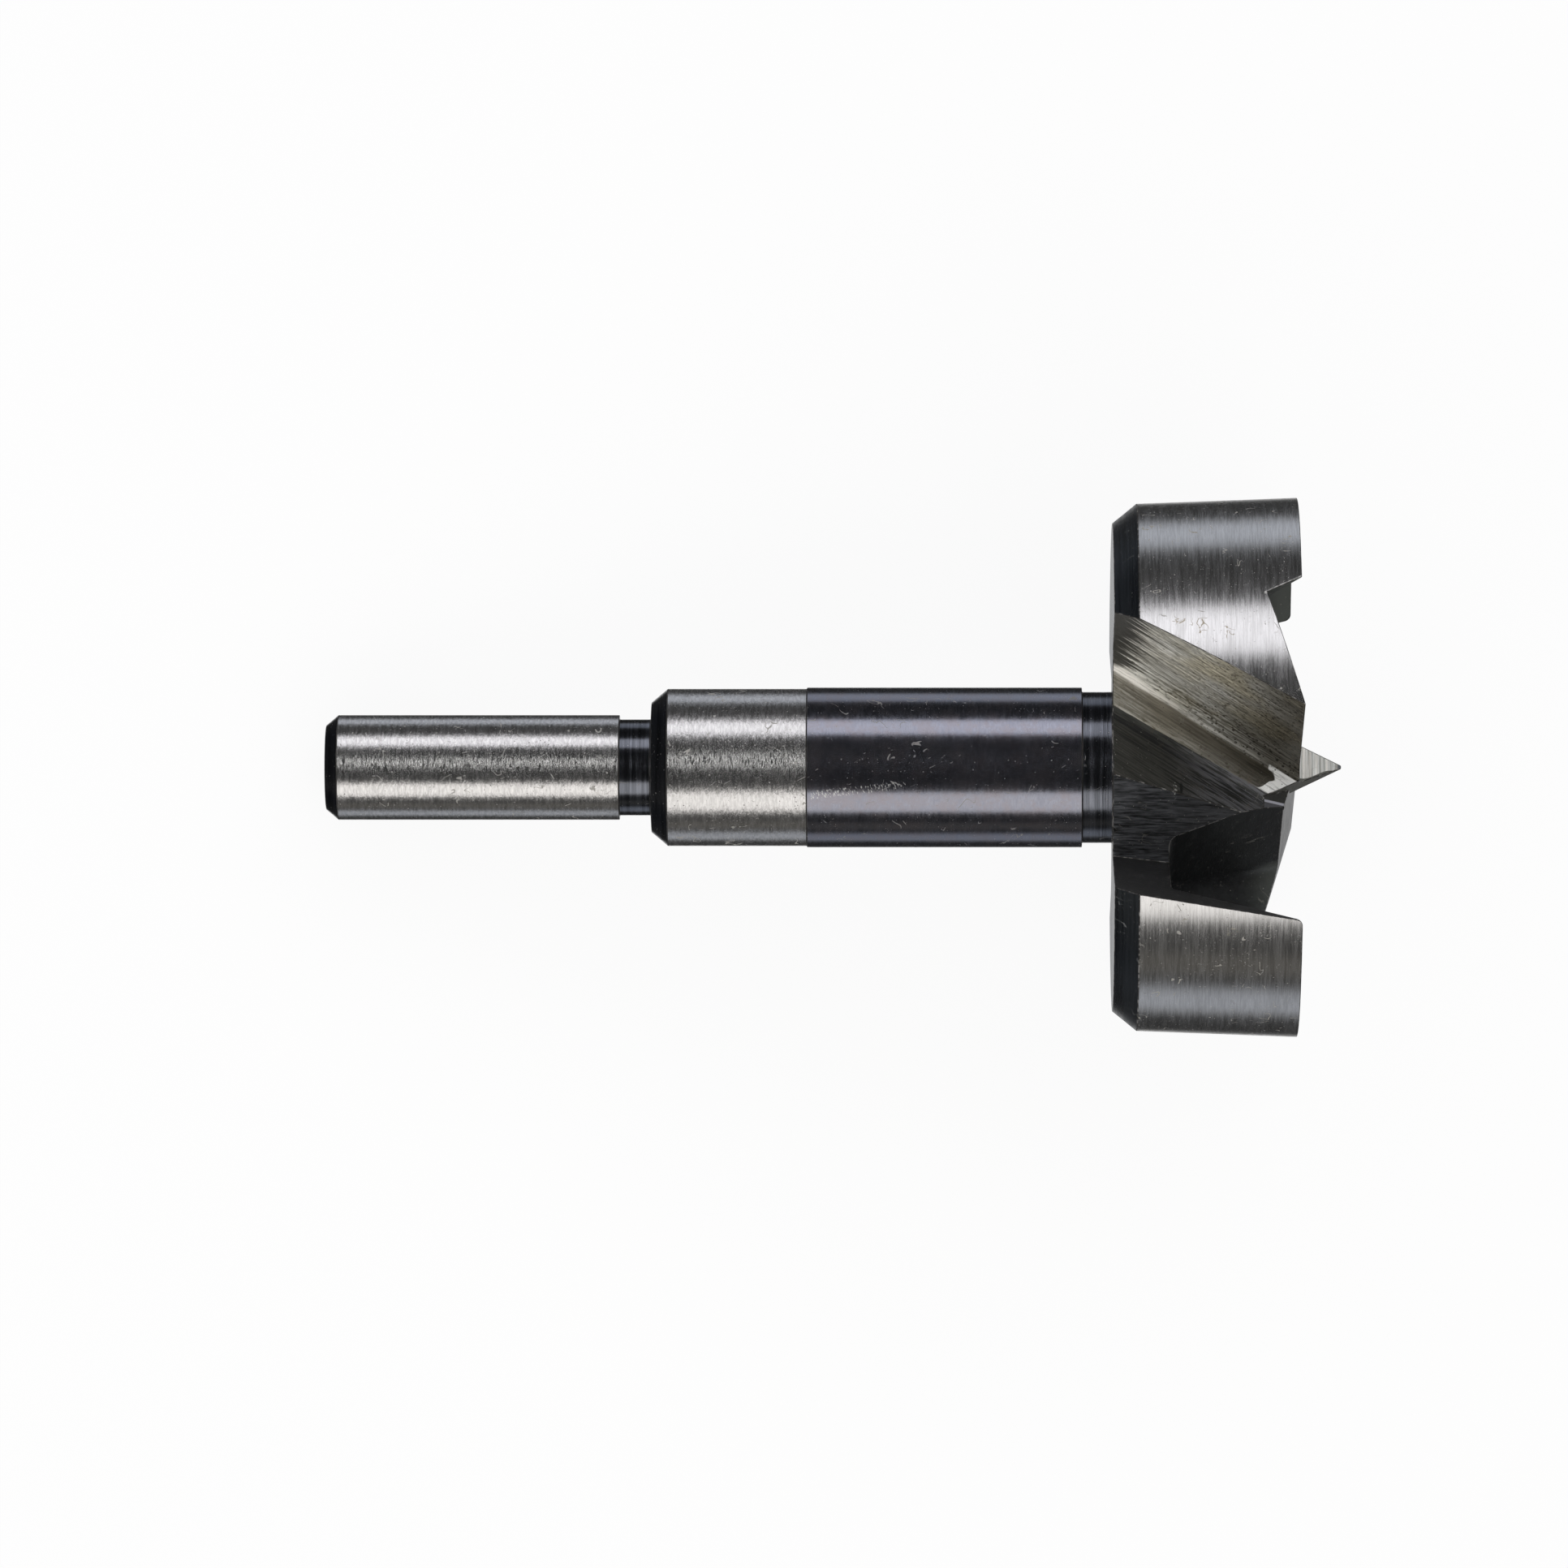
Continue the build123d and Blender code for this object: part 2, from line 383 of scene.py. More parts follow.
def spots(tree, place, scale, size, rarity):
    """Round spots of mixed sizes, most of them tiny."""
    cells = add(tree, "TexVoronoi", {"Vector": place, "Scale": scale})
    pick = add(tree, "SeparateColor", {0: cells.outputs["Color"]}).outputs[0]
    limit = times(tree, math(tree, "POWER", pick, rarity), size)
    return math(tree, "LESS_THAN", cells.outputs["Distance"], limit)


place = start.outputs["Place"]
curls = noise(wear, place, 0.42, 1.5, Distortion=1.0)
line = ramp(wear, math(wear, "ABSOLUTE", math(wear, "SUBTRACT", curls, 0.5)), 0.005, 0.013, 1.0, 0.0)
patches = noise(wear, place, 0.5)
curled = times(wear, line, ramp(wear, patches, 0.6, 0.64))
slanting = (towards_viewer * 0.1 + picture_up * 0.5 + axis) @ turned
scratch_turn = slanting.to_track_quat("X", "Z").to_euler()
shape = {"Vector": place, "Rotation": scratch_turn, "Scale": (1.6, 0.07, 0.07)}
scratched = add(wear, "Mapping", shape, vector_type="TEXTURE").outputs[0]
scratches = ramp(wear, noise(wear, scratched, 1.0, 0.0), 0.8, 0.83)
scratches = times(wear, scratches, ramp(wear, patches, 0.52, 0.58))
hairs = math(wear, "MAXIMUM", curled, scratches)
dust = math(wear, "MAXIMUM", spots(wear, place, 1.5, 0.13, 8.0), spots(wear, place, 4.0, 0.22, 7.0))
pits = spots(wear, place, 3.7, 0.28, 3.0)
pitted = noise(wear, place, 0.3, 3.0)
pits = times(wear, pits, ramp(wear, pitted, 0.46, 0.56))
stains = ramp(wear, noise(wear, place, 0.7, 5.0, Roughness=0.7), 0.6, 0.7)
for name, mask in {"Hairs": hairs, "Dust": dust, "Pits": pits, "Stains": stains}.items():
    wear.links.new(times(wear, mask, start.outputs[name]), ends.inputs[name])


def marks_along(direction, length, spacing):
    """Stretch of the place that turns noise into straight marks along a direction."""
    turn = direction.to_track_quat("X", "Z").to_euler()

    def stretch(tree, place):
        shape = {"Vector": place, "Rotation": turn, "Scale": (length, spacing, spacing)}
        return add(tree, "Mapping", shape, vector_type="TEXTURE").outputs[0]

    return stretch


def marks_around(length, spacing):
    """Stretch of the place that turns noise into marks round the bit's axis."""

    def stretch(tree, place):
        shape = {"Vector": place, "Scale": (length, length, spacing)}
        return add(tree, "Mapping", shape, vector_type="TEXTURE").outputs[0]

    return stretch


def both_gullets(marks):
    """The same marks in the second gullet, half a turn away from the first."""

    def stretch(tree, place):
        side = math(tree, "SIGN", add(tree, "SeparateXYZ", {0: place}).outputs["X"])
        half_turn = add(tree, "CombineXYZ", {"X": side, "Y": side, "Z": 1.0}).outputs[0]
        folded = add(tree, "VectorMath", {0: place, 1: half_turn}, operation="MULTIPLY")
        return marks(tree, folded.outputs[0])

    return stretch


# Colours of what handling leaves, and the share of the fine lines in the tool marks' colour.
wear_colours = {
    "Stains": (0.13, 0.10, 0.06),
    "Pits": (0.035, 0.028, 0.018),
    "Hairs": (0.28, 0.265, 0.23),
    "Dust": (0.42, 0.40, 0.36),
}
line_share = 0.7


def steel(name, light, dark, marks, roughness, groove, metallic, worn, paint=None, breadth=5.0):
    """Steel with tool marks between two colours, and signs of handling.

    Roughness has its value in the dark marks and in the light ones. The groove's depth is in millimetres.
    Worn gives the amount of each sign of handling. Paint may change the colour and the metallic value.
    """
    material = bpy.data.materials[name]
    material.use_nodes = True
    tree = material.node_tree
    shader = tree.nodes["Principled BSDF"]
    where = use(tree, bit_place, {})
    place = where.outputs["Place"]
    lines = use(tree, tool_marks, {"Along": marks(tree, place), "Breadth": breadth})
    streaked = times(tree, lines.outputs["Streaks"], 1 - line_share)
    marked = math(tree, "MULTIPLY_ADD", lines.outputs["Lines"], line_share, streaked)
    colour = mixed(tree, marked, dark, light)
    rough = math(tree, "MULTIPLY_ADD", marked, roughness[1] - roughness[0], roughness[0])
    bare = metallic
    if paint:
        colour, bare = paint(tree, where, lines, colour)
    used = use(tree, wear, {"Place": place, **worn})
    for sign, shade in wear_colours.items():
        colour = mixed(tree, used.outputs[sign], colour, shade)
    laid_on = math(tree, "MAXIMUM", used.outputs["Hairs"], used.outputs["Dust"])
    clean = math(tree, "SUBTRACT", 1.0, math(tree, "MAXIMUM", laid_on, used.outputs["Pits"]))
    tree.links.new(colour, shader.inputs["Base Color"])
    tree.links.new(times(tree, clean, bare), shader.inputs["Metallic"])
    rough = math(tree, "MULTIPLY_ADD", used.outputs["Stains"], 0.2, rough)
    tree.links.new(math(tree, "MULTIPLY_ADD", laid_on, 0.3, rough), shader.inputs["Roughness"])
    bump = add(tree, "Bump", {"Height": lines.outputs["Lines"], "Strength": 1.0, "Distance": groove * MM})
    tree.links.new(bump.outputs[0], shader.inputs["Normal"])


# Ground surfaces. The shank, the back of the body and the head's wall are ground true between centres, which
# leaves fine lines round them and a bright satin grey.
handled = {"Hairs": 0.7, "Dust": 0.5, "Pits": 0.7, "Stains": 0.15}
ground_lines = marks_around(0.9, 0.2)
for name in ("ground_shank", "ground_body"):
    steel(
        name,
        light=(0.66, 0.65, 0.64),
        dark=(0.47, 0.465, 0.455),
        marks=ground_lines,
        roughness=(0.2, 0.25),
        groove=0.0085,
        metallic=0.98,
        worn=handled,
        breadth=1.8,
    )
wall_lines = marks_around(3.0, 0.17)
wall_wear = {"Hairs": 1.0, "Dust": 0.6, "Pits": 0.3, "Stains": 0.15}
# Where hairs lie on the wall, the reach round each place and how light the hair is there.
dark_hair = Vector((0.16, 0.13, 0.08))
light_hair = Vector((0.75, 0.73, 0.66))
stray_hairs = (
    ((24.3, -7.3, 82.9), 1.1, 0.15),
    ((24.55, -6.4, 85.5), 0.8, 0.1),
    ((24.15, -7.8, 80.9), 0.7, 0.2),
    ((15.3, 20.4, 85.8), 0.9, 1.0),
)


def wall_paint(tree, where, lines, colour):
    """A bright burr along the notch where each rim starts, and thin curled hairs at a few places."""
    place = where.outputs["Place"]
    flat = add(tree, "SeparateXYZ", {0: place})
    across = times(tree, flat.outputs["Y"], math(tree, "SIGN", flat.outputs["X"]))
    root_station = stations["edge_plane"] - notch_distance * tan(relief_angle)
    up_notch = math(tree, "SUBTRACT", where.outputs["Station"], root_station)
    off_notch = math(tree, "MULTIPLY_ADD", up_notch, tan(notch_slant), across)
    off_notch = math(tree, "ADD", off_notch, notch_distance - edge_lead)
    edge = times(tree, ramp(tree, off_notch, -0.22, -0.14), ramp(tree, off_notch, 0.2, 0.1))
    edge = times(tree, edge, ramp(tree, up_notch, -0.35, -0.2))
    edge = times(tree, edge, ramp(tree, noise(tree, place, 3.0), 0.4, 0.6, 0.35, 1.0))
    colour = mixed(tree, edge, colour, (0.62, 0.61, 0.59))
    curl = math(tree, "SUBTRACT", noise(tree, place, 0.75, 1.0, Distortion=1.6), 0.5)
    curl = ramp(tree, math(tree, "ABSOLUTE", curl), 0.018, 0.032, 1.0, 0.0)
    for middle, reach, light in stray_hairs:
        off = add(tree, "VectorMath", {0: place, 1: middle}, operation="DISTANCE").outputs["Value"]
        hair = times(tree, curl, ramp(tree, off, reach, 0.8 * reach))
        colour = mixed(tree, hair, colour, tuple(dark_hair.lerp(light_hair, light)))
    return colour, math(tree, "MULTIPLY_ADD", edge, -0.7, 0.98)


steel(
    "ground_wall",
    light=(0.67, 0.665, 0.655),
    dark=(0.45, 0.445, 0.435),
    marks=wall_lines,
    roughness=(0.18, 0.25),
    groove=0.0028,
    metallic=0.98,
    worn=wall_wear,
    paint=wall_paint,
)

# Blackened surfaces keep the dark oxide of the hardening: the turned necks, the chamfers, the back of the
# head, and most of the body, where it is polished over and looks blue-brown.
kept_black = {"Hairs": 0.4, "Dust": 0.4, "Pits": 0.0, "Stains": 0.0}
turning_rings = marks_around(14.0, 0.28)
steel(
    "blackened_turning",
    light=(0.2, 0.21, 0.24),
    dark=(0.07, 0.075, 0.085),
    marks=turning_rings,
    roughness=(0.14, 0.24),
    groove=0.006,
    metallic=1.0,
    worn=kept_black,
)
steel(
    "head_back",
    light=(0.18, 0.2, 0.225),
    dark=(0.12, 0.135, 0.15),
    marks=turning_rings,
    roughness=(0.25, 0.35),
    groove=0.004,
    metallic=1.0,
    worn=kept_black,
)
blued_wear = {"Hairs": 0.6, "Dust": 0.35, "Pits": 0.0, "Stains": 0.1}
# The row of short nicks on the body: its two ends, its height at the first one and its slant.
row_start = 46.3
row_end = 55.3
row_height = 4.4
row_slant = 0.093
nick_turn = radians(25)


def blued_paint(tree, where, lines, colour):
    """Brown patches in the blue, rubbed specks, and a row of short nicks along one side."""
    place = where.outputs["Place"]
    station = where.outputs["Station"]
    cloudy = ramp(tree, noise(tree, place, 0.55, 6.0, Roughness=0.7), 0.42, 0.62)
    colour = mixed(tree, cloudy, colour, (0.24, 0.23, 0.257))
    speckled = ramp(tree, noise(tree, place, 7.0, 3.0, Roughness=0.6), 0.63, 0.72)
    specks = times(tree, speckled, ramp(tree, noise(tree, place, 0.35), 0.42, 0.6))
    flat = add(tree, "SeparateXYZ", {0: place})
    off = math(tree, "MULTIPLY_ADD", station, row_slant, flat.outputs["Y"])
    off = math(tree, "ABSOLUTE", math(tree, "SUBTRACT", off, row_height + row_slant * row_start))
    row = times(tree, ramp(tree, off, 0.42, 0.25), math(tree, "GREATER_THAN", flat.outputs["X"], 0.0))
    row = times(tree, row, math(tree, "GREATER_THAN", station, row_start))
    row = times(tree, row, math(tree, "LESS_THAN", station, row_end))
    nicked = {"Vector": place, "Scale": (0.25, 0.3, 0.1), "Rotation": (nick_turn, 0, 0)}
    nicked = add(tree, "Mapping", nicked, vector_type="TEXTURE").outputs[0]
    nicked = ramp(tree, noise(tree, nicked, 1.0), 0.54, 0.64)
    specks = math(tree, "MAXIMUM", times(tree, specks, 0.3), times(tree, row, nicked))
    bare = math(tree, "MULTIPLY_ADD", specks, -0.5, math(tree, "MULTIPLY_ADD", cloudy, -0.025, 1.0))
    return mixed(tree, specks, colour, (0.55, 0.55, 0.54)), bare


steel(
    "blued_body",
    light=(0.265, 0.272, 0.315),
    dark=(0.21, 0.216, 0.255),
    marks=ground_lines,
    roughness=(0.16, 0.22),
    groove=0.0022,
    metallic=1.0,
    worn=blued_wear,
    paint=blued_paint,
)


# One burr was left standing where the outer floor's cutter broke into the inner floor: its notch, near black
# with painted shade, and a row of bright crumbs beside it.
burr, start, ends = new_group("burr", {"Place": "Vector"}, {"Notch_shade": "Float", "Crumbs": "Float"})
notch_shade_middle = Vector((5.8, 3.6, 81.42))
crumbs_middle = Vector((6.0, 3.9, 80.82))
crumbled = noise(burr, start.outputs["Place"], 4.5)
for name, middle, size, sharp in (
    ("Notch_shade", notch_shade_middle, (0.9, 0.8, 0.2), 0.5),
    ("Crumbs", crumbs_middle, (0.9, 0.95, 0.24), 0.35),
):
    shape = {"Vector": start.outputs["Place"], "Location": middle, "Scale": size}
    inside = add(burr, "Mapping", shape, vector_type="TEXTURE").outputs[0]
    inside = add(burr, "VectorMath", {0: inside}, operation="LENGTH").outputs["Value"]
    if name == "Crumbs":
        inside = math(burr, "ADD", inside, ramp(burr, crumbled, 0.58, 0.42, 0.0, 1.2))
    burr.links.new(ramp(burr, inside, 1.0, 1.0 - sharp), ends.inputs[name])


def burred(tree, place, colour):
    """Colour with the burr's bright crumbs and the painted shade of its notch."""
    left = use(tree, burr, {"Place": place})
    # The notch is painted near black, as shade.
    colour = mixed(tree, left.outputs["Notch_shade"], colour, (0.008, 0.009, 0.01))
    return mixed(tree, left.outputs["Crumbs"], colour, (0.4, 0.4, 0.38))


# The gullets are swept past the core at a slant. The rake face and its corner radius are ground after the
# blackening, in long streaks, and the black starts at a line just before the radius meets the floor.
# How far round the radius the painted highlight lies, and a climb that is below any edge of the oxide.
highlight_place = 3.85
out_of_reach = -20.0
# Black lines in the oxide: how far past its edge they lie, their half width and their strength.
oxide_lines = ((1.05, 0.16, 0.85), (1.45, 0.24, 0.9), (1.95, 0.12, 0.6), (3.0, 0.16, 0.7))


def swept_paint(tree, where, lines, ground):
    """Ground metal on the rake face and most of the radius, black oxide from there on.

    Back is the distance from the head's back, and round_corner the way round the radius from the floor to
    the rake face. Climb is the way up the floor from the radius's end, and past how far beyond the oxide's
    edge that is.
    """
    place = where.outputs["Place"]
    back = math(tree, "SUBTRACT", where.outputs["Station"], stations["head_back"])
    flat = add(tree, "SeparateXYZ", {0: place})
    side = math(tree, "SIGN", flat.outputs["X"])
    section = []
    for name, middle, slope in (("X", corner_x, sweep.x), ("Y", corner_y, sweep.y)):
        turned_over = times(tree, flat.outputs[name], side)
        centre = math(tree, "MULTIPLY_ADD", back, slope, middle)
        section.append(math(tree, "SUBTRACT", centre, turned_over))
    out_x, out_y = section
    climb = math(tree, "MULTIPLY_ADD", out_x, -up_floor.x, times(tree, out_y, -up_floor.y))
    climb = math(tree, "MULTIPLY_ADD", math(tree, "LESS_THAN", out_x, 0.0), out_of_reach, climb)
    round_corner = times(tree, math(tree, "ARCTAN2", out_y, out_x), corner_radius)
    fine_lines = lines.outputs["Lines"]
    unsteady = noise(tree, place, 0.9, 3.0)
    limit = math(tree, "MULTIPLY_ADD", back, -0.057, math(tree, "MULTIPLY_ADD", unsteady, 0.16, -1.93))
    past = math(tree, "SUBTRACT", climb, limit)
    black = ramp(tree, past, -0.05, 0.05)

    # A brown tinge, dark nicks and pocks, a dull strip beside the oxide, and darker towards the front.
    brown = noise(tree, place, 0.16, 3.0)
    tinged = times(tree, ramp(tree, brown, 0.4, 0.65), ramp(tree, back, 2.0, 10.0, 0.3, 1.0))
    colour = mixed(tree, tinged, ground, (0.98, 0.92, 0.77), "MULTIPLY")
    nicks = ramp(tree, noise(tree, nick_shape(tree, place), 1.0), 0.56, 0.63)
    nicks = times(tree, nicks, ramp(tree, brown, 0.36, 0.5, 0.25, 1.0))
    colour = mixed(tree, times(tree, nicks, 0.75), colour, (0.09, 0.08, 0.05))
    pocks = spots(tree, place, 2.6, 0.42, 0.9)
    pocks = times(tree, pocks, ramp(tree, back, 5.0, 10.0, 0.2, 0.85))
    colour = mixed(tree, pocks, colour, (0.06, 0.05, 0.03))
    low_strip = times(tree, ramp(tree, round_corner, 3.7, 3.3), ramp(tree, past, -0.1, -1.5, 0.7, 1.0))
    low_strip = times(tree, low_strip, ramp(tree, back, 1.0, 5.0, 0.74, 1.0))
    dull = mixed(tree, 1.0, ground, (0.35, 0.32, 0.25), "MULTIPLY")
    dull = mixed(tree, 0.5, dull, (0.18, 0.16, 0.125))
    colour = mixed(tree, low_strip, colour, dull)
    fading = ramp(tree, math(tree, "MULTIPLY_ADD", round_corner, -0.2, back), 3.0, 15.0)
    colour = mixed(tree, fading, colour, mixed(tree, 1.0, colour, (0.21, 0.2, 0.18), "MULTIPLY"))

    # A painted highlight along the radius, halfway round, wide at the back and narrow towards the front.
    off_ridge = math(tree, "ABSOLUTE", math(tree, "SUBTRACT", round_corner, highlight_place))
    painted_highlight = ramp(tree, off_ridge, 0.05, ramp(tree, back, 0.0, 9.0, 0.8, 0.25), 1.0, 0.0)
    painted_highlight = times(tree, painted_highlight, ramp(tree, back, 9.0, 1.0, 0.2, 0.95))
    painted_highlight = times(tree, painted_highlight, ramp(tree, fine_lines, 0.0, 0.7, 0.5, 1.0))
    colour = mixed(tree, painted_highlight, colour, (1.0, 0.96, 0.88))

    # Scorched, with a ragged edge, on the rake face near the back.
    ragged = math(tree, "MULTIPLY_ADD", lines.outputs["Streaks"], 2.4, back)
    ragged = math(tree, "MULTIPLY_ADD", fine_lines, 1.3, ragged)
    ragged = math(tree, "MULTIPLY_ADD", round_corner, -0.12, ragged)
    # The scorch lies past the painted highlight's line on the radius.
    over_highlight = math(tree, "MULTIPLY_ADD", back, -0.5, round_corner)
    burnt = times(tree, ramp(tree, ragged, 4.0, 2.2), ramp(tree, over_highlight, 3.7, 4.4))
    colour = mixed(tree, times(tree, burnt, 0.95), colour, (0.055, 0.053, 0.042))

    # A painted highlight: a bright spot in the front corner, beside the point.
    tip_side = math(tree, "MULTIPLY_ADD", round_corner, -0.5, back)
    tip_side = math(tree, "MULTIPLY_ADD", noise(tree, place, 0.8, 0.5), 3.0, tip_side)
    spot = times(tree, ramp(tree, tip_side, 14.85, 15.0), ramp(tree, round_corner, 4.1, 3.9))
    spot = times(tree, spot, ramp(tree, fine_lines, 0.1, 0.6, 0.6, 1.0))
    colour = mixed(tree, spot, colour, (1.0, 1.0, 0.97))

    # The oxide, with a few black lines along the sweep, rubbed paler towards the front.
    oxide = mixed(tree, fine_lines, (0.018, 0.019, 0.018), (0.062, 0.062, 0.056))
    wander = math(tree, "MULTIPLY_ADD", lines.outputs["Streaks"], 0.3, past)
    for depth, width, strength in oxide_lines:
        off = math(tree, "ABSOLUTE", math(tree, "SUBTRACT", wander, depth))
        line = ramp(tree, off, 0.4 * width, width, strength, 0.0)
        oxide = mixed(tree, line, oxide, (0.007, 0.008, 0.01))
    rubbed = times(tree, ramp(tree, back, 4.0, 11.0, 0.0, 0.75), ramp(tree, fine_lines, 0.25, 0.85))
    oxide = mixed(tree, rubbed, oxide, (0.17, 0.17, 0.185))
    oxide = burred(tree, place, oxide)
    metal = math(tree, "MULTIPLY_ADD", black, -0.15, math(tree, "MULTIPLY_ADD", spot, -0.1, 0.35))
    return mixed(tree, black, colour, oxide), metal


swept_wear = {"Hairs": 0.2, "Dust": 0.5, "Pits": 0.9, "Stains": 0.3}
streaks = both_gullets(marks_along(sweep, 3.6, 0.19))
nick_shape = both_gullets(marks_along(sweep, 0.7, 0.2))
steel(
    "swept_cut",
    light=(1.0, 0.99, 0.92),
    dark=(0.14, 0.13, 0.095),
    marks=streaks,
    roughness=(0.32, 0.5),
    groove=0.012,
    metallic=0.6,
    worn=swept_wear,
    paint=swept_paint,
    breadth=2.6,
)

# The other walls of the gullets and the pockets stay black, as milled, with dust on them.
milled = {"Hairs": 0.35, "Dust": 0.55, "Pits": 0.0, "Stains": 0.0}
floor_lines = both_gullets(marks_along(Vector((-0.17, 0.0, 1.0)), 2.2, 0.2))


def floor_paint(tree, where, lines, colour):
    """Blacker towards the front, where the cutter left the floor smooth."""
    fading = ramp(tree, where.outputs["Station"], 78.0, 84.0, 0.0, 0.6)
    colour = mixed(tree, fading, colour, mixed(tree, 1.0, colour, (0.3, 0.3, 0.3), "MULTIPLY"))
    return burred(tree, where.outputs["Place"], colour), 0.3


steel(
    "milled_outer_floor",
    light=(0.125, 0.13, 0.14),
    dark=(0.0, 0.0, 0.0),
    marks=floor_lines,
    roughness=(0.35, 0.5),
    groove=0.012,
    metallic=0.3,
    worn=milled,
    paint=floor_paint,
)
wall_marks = both_gullets(marks_along(Vector((0.0, -0.16, 1.0)), 6.0, 0.3))
steel(
    "milled_trailing_wall",
    light=(0.052, 0.052, 0.054),
    dark=(0.022, 0.022, 0.023),
    marks=wall_marks,
    roughness=(0.3, 0.45),
    groove=0.006,
    metallic=0.4,
    worn=milled,
)
pocket_marks = marks_along(Vector((1.0, 0.0, 0.2)), 4.0, 0.5)


def pocket_paint(tree, where, lines, colour):
    """Thin oxide, rubbed to a greenish grey, near the front of the rims."""
    front = ramp(tree, where.outputs["Station"], 87.0, 92.0, 0.0, 0.8)
    off_axis = add(tree, "VectorMath", {0: where.outputs["Place"], 1: (1, 1, 0)}, operation="MULTIPLY")
    radius = add(tree, "VectorMath", {0: off_axis.outputs[0]}, operation="LENGTH").outputs["Value"]
    front = times(tree, front, ramp(tree, radius, 19.0, 21.0))
    return mixed(tree, front, colour, (0.11, 0.12, 0.108)), 0.3


steel(
    "blackened_pocket",
    light=(0.024, 0.026, 0.027),
    dark=(0.014, 0.015, 0.016),
    marks=pocket_marks,
    roughness=(0.3, 0.45),
    groove=0.006,
    metallic=0.3,
    worn=milled,
    paint=pocket_paint,
)

# The relief faces and the centre point are ground last, across the edge.
last_ground = {"Hairs": 0.2, "Dust": 0.2, "Pits": 0.5, "Stains": 0.3}
relief_marks = marks_along(Vector((1.0, 0.0, 0.0)), 5.0, 0.2)
steel(
    "ground_relief",
    light=(0.088, 0.09, 0.094),
    dark=(0.045, 0.046, 0.048),
    marks=relief_marks,
    roughness=(0.3, 0.42),
    groove=0.006,
    metallic=0.5,
    worn=last_ground,
)
point_marks = marks_along(Vector((-0.24, 0.97, 0.0)), 6.0, 0.15)
point_foot = 92.9
point_top = 95.9


def point_paint(tree, where, lines, colour):
    """The wide sides are ground bright, down to a line above the flank; the tip is blunted and dark."""
    tinted = ramp(tree, noise(tree, point_marks(tree, where.outputs["Place"]), 0.35), 0.35, 0.65)
    colour = mixed(tree, tinted, colour, (0.88, 0.93, 0.97), "MULTIPLY")
    flat = add(tree, "SeparateXYZ", {0: where.outputs["Place"]})
    across = times(tree, flat.outputs["Y"], math(tree, "SIGN", flat.outputs["X"]))
    reach = ramp(tree, where.outputs["Station"], point_foot, point_top, 1.55, 0.45)
    below = ramp(tree, math(tree, "SUBTRACT", across, reach), -0.03, 0.03)
    colour = mixed(tree, below, colour, (0.11, 0.11, 0.095))
    blunted = ramp(tree, where.outputs["Station"], point_top + 0.4, point_top + 0.6)
    return mixed(tree, blunted, colour, (0.12, 0.13, 0.14)), 0.3


steel(
    "ground_point",
    light=(1.0, 0.97, 0.91),
    dark=(0.36, 0.34, 0.3),
    marks=point_marks,
    roughness=(0.35, 0.5),
    groove=0.008,
    metallic=0.3,
    worn=last_ground,
    paint=point_paint,
    breadth=3.0,
)
steel(
    "point_flank",
    light=(0.15, 0.15, 0.13),
    dark=(0.06, 0.06, 0.052),
    marks=point_marks,
    roughness=(0.35, 0.5),
    groove=0.006,
    metallic=0.3,
    worn=last_ground,
)
gash_step = 3.7
gash_slant = -0.06


def gash_paint(tree, where, lines, colour):
    """A step runs down the gash: a painted highlight along its edge, with a greyer strip beyond it."""
    flat = add(tree, "SeparateXYZ", {0: where.outputs["Place"]})
    along = math(tree, "ABSOLUTE", flat.outputs["X"])
    off = math(tree, "MULTIPLY_ADD", along, gash_slant, math(tree, "ABSOLUTE", flat.outputs["Y"]))
    colour = mixed(tree, ramp(tree, off, gash_step - 0.02, gash_step + 0.04), colour, (0.1, 0.1, 0.11))
    # A bright bluish line, painted as the highlight on the step's edge.
    line = math(tree, "ABSOLUTE", math(tree, "SUBTRACT", off, gash_step))
    line = ramp(tree, line, 0.09, 0.15, 1.0, 0.0)
    return mixed(tree, line, colour, (0.5, 0.5, 0.56)), 0.3


steel(
    "gash_floor",
    light=(0.055, 0.055, 0.05),
    dark=(0.035, 0.035, 0.032),
    marks=relief_marks,
    roughness=(0.35, 0.5),
    groove=0.004,
    metallic=0.3,
    worn=last_ground,
    paint=gash_paint,
)
# Worn edges are bare in places.
edge_marks = marks_along(Vector((0.0, 0.0, 1.0)), 0.8, 0.8)


def patchy_paint(tree, where, lines, colour):
    """Bright metal only where the edge has been knocked, dark elsewhere."""
    knocked = ramp(tree, lines.outputs["Lines"], 0.5, 0.95, 0.0, 0.8)
    knocked = times(tree, knocked, ramp(tree, where.outputs["Station"], 74.0, 75.0, 0.15, 1.0))
    return mixed(tree, knocked, (0.05, 0.048, 0.045), (0.36, 0.35, 0.34)), 0.6


steel(
    "worn_edge",
    light=(0.5, 0.5, 0.5),
    dark=(0.1, 0.1, 0.1),
    marks=edge_marks,
    roughness=(0.3, 0.45),
    groove=0.002,
    metallic=0.7,
    worn=kept_black,
    paint=patchy_paint,
)


# Table: a plain white sheet that only takes the bit's soft shadow. For the camera it mostly glows evenly,
# so the shadow is as weak as in the photograph, and shiny surfaces see the room instead of it.
floor_half = 3.0
glow_share = 0.9
bpy.ops.object.select_all(action="DESELECT")
bpy.ops.mesh.primitive_plane_add(size=2 * floor_half, location=(0, 0, 0))
floor = bpy.context.active_object
floor.name = "table"
floor.visible_glossy = False
sheet = bpy.data.materials.new("white_sheet")
sheet.use_nodes = True
tree = sheet.node_tree
tree.nodes.clear()
paper = add(tree, "BsdfDiffuse", {"Color": (0.95, 0.95, 0.95, 1)})
white = add(tree, "Emission", {"Strength": 1.0})
seen = add(tree, "LightPath", {})
share = times(tree, seen.outputs["Is Camera Ray"], glow_share)
mix = add(tree, "MixShader", {0: share, 1: paper.outputs[0], 2: white.outputs[0]})
add(tree, "OutputMaterial", {"Surface": mix.outputs[0]})
floor.data.materials.append(sheet)

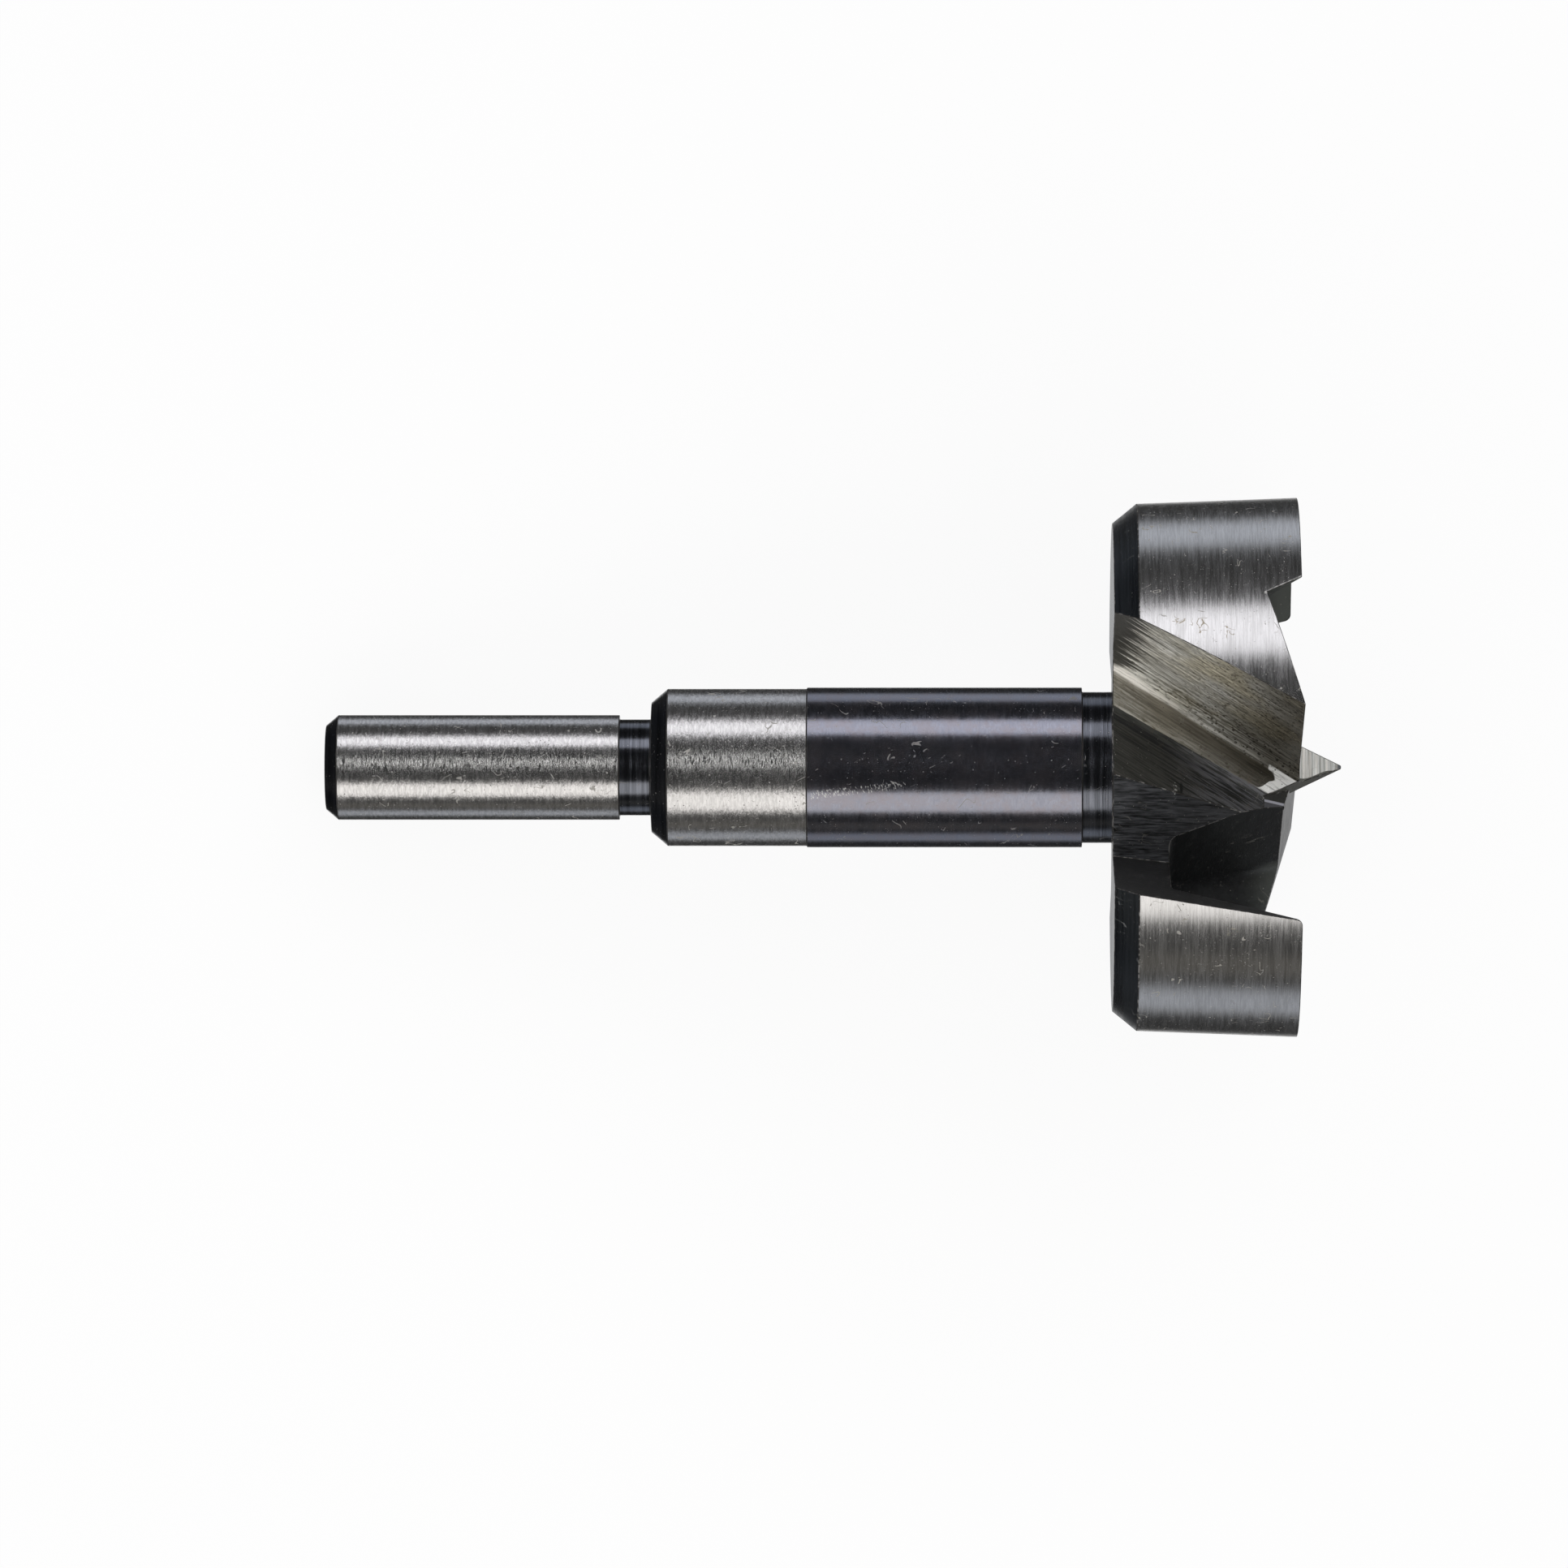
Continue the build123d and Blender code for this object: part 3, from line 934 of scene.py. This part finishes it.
# Two long soft boxes stand beside the bit, a cool one above it in the picture and a warmer one below.
lamp_station = 60 * MM
middle = to_row @ Vector((0, 0, lamp_station))
box_length = 1.2
box_distance = 0.6


def soft_box(name, angle, span, radiance, colour):
    """Long lamp along the bit, at an angle from the view towards the top of the picture."""
    width = 2 * box_distance * tan(span / 2)
    data = bpy.data.lights.new(name, "AREA")
    data.shape = "RECTANGLE"
    data.size = box_length
    data.size_y = width
    data.energy = radiance * pi * box_length * width
    data.color = colour
    lamp = bpy.data.objects.new(name, data)
    bpy.context.scene.collection.objects.link(lamp)
    away = (towards_viewer * cos(angle) + picture_up * sin(angle)).normalized()
    aimed = Matrix((axis, away.cross(axis), away)).transposed()
    lamp.matrix_world = Matrix.Translation(middle + away * box_distance) @ aimed.to_4x4()


soft_box("upper_soft_box", radians(60.3), radians(23.8), radiance=1.6, colour=(0.955, 0.95, 1.0))
soft_box("lower_soft_box", radians(-51.8), radians(31.6), radiance=1.42, colour=(1.0, 0.975, 0.955))

# The room for shiny surfaces is a dark tent round the bit's axis, with a pale strip low on each side, the
# white sheet far below, and a weak light over each end. Rough surfaces see an even white room. Angles are
# counted in radians round the bit's axis, from the viewer towards the top of the picture.
dark_tent = 0.035
even_room = 0.6
world = bpy.data.worlds.new("room")
bpy.context.scene.world = world
world.cycles.sampling_method = "NONE"
world.use_nodes = True
tree = world.node_tree
tree.nodes.clear()
looking = add(tree, "TexCoord", {}).outputs["Generated"]


def share_along(direction):
    """How far the ray points along a direction."""
    return add(tree, "VectorMath", {0: looking, 1: direction}, operation="DOT_PRODUCT").outputs["Value"]


sideways = share_along(picture_up)
endways = math(tree, "ABSOLUTE", share_along(axis))
around = math(tree, "ARCTAN2", sideways, share_along(towards_viewer))
turned_away = math(tree, "ABSOLUTE", around)
strip = times(tree, ramp(tree, turned_away, 1.86, 2.02), ramp(tree, turned_away, 2.42, 2.22))
strip = times(tree, strip, ramp(tree, sideways, -0.1, 0.1, 0.46, 0.64))
below = math(tree, "ADD", strip, ramp(tree, turned_away, 2.85, 3.0, 0.0, 0.7))
below = times(tree, below, ramp(tree, endways, 0.6, 0.4))
end_light = times(tree, ramp(tree, around, -0.06, 0.1), ramp(tree, around, 0.42, 0.28))
end_light = times(tree, end_light, ramp(tree, endways, 0.27, 0.38))
end_light = times(tree, end_light, ramp(tree, endways, 0.7, 0.55, 0.0, 4.8))
warm_glow = ramp(tree, around, -1.84, -1.72, 0.0, 0.1)
warm_glow = times(tree, ramp(tree, around, -1.47, -1.58), warm_glow)
beyond_head = ramp(tree, share_along(axis), 0.8, 0.95, 0.0, 0.15)
shiny = math(tree, "ADD", math(tree, "ADD", below, warm_glow), math(tree, "ADD", end_light, beyond_head))
shiny = math(tree, "ADD", shiny, dark_tent)
seen = add(tree, "LightPath", {})
reflected = math(tree, "MAXIMUM", seen.outputs["Is Glossy Ray"], seen.outputs["Is Transmission Ray"])
shiny = times(tree, shiny, reflected)
even = times(tree, seen.outputs["Is Diffuse Ray"], even_room)
strength = math(tree, "MAXIMUM", math(tree, "MAXIMUM", shiny, even), seen.outputs["Is Camera Ray"])
tint = mixed(tree, times(tree, strip, 2.0), (1.0, 1.0, 1.0), (0.9, 0.95, 1.06))
tint = mixed(tree, times(tree, warm_glow, 9.0), tint, (1.0, 0.94, 0.84))
room = add(tree, "Background", {"Color": tint, "Strength": strength})
add(tree, "OutputWorld", {"Surface": room.outputs[0]})

bpy.context.scene.view_settings.view_transform = "Standard"
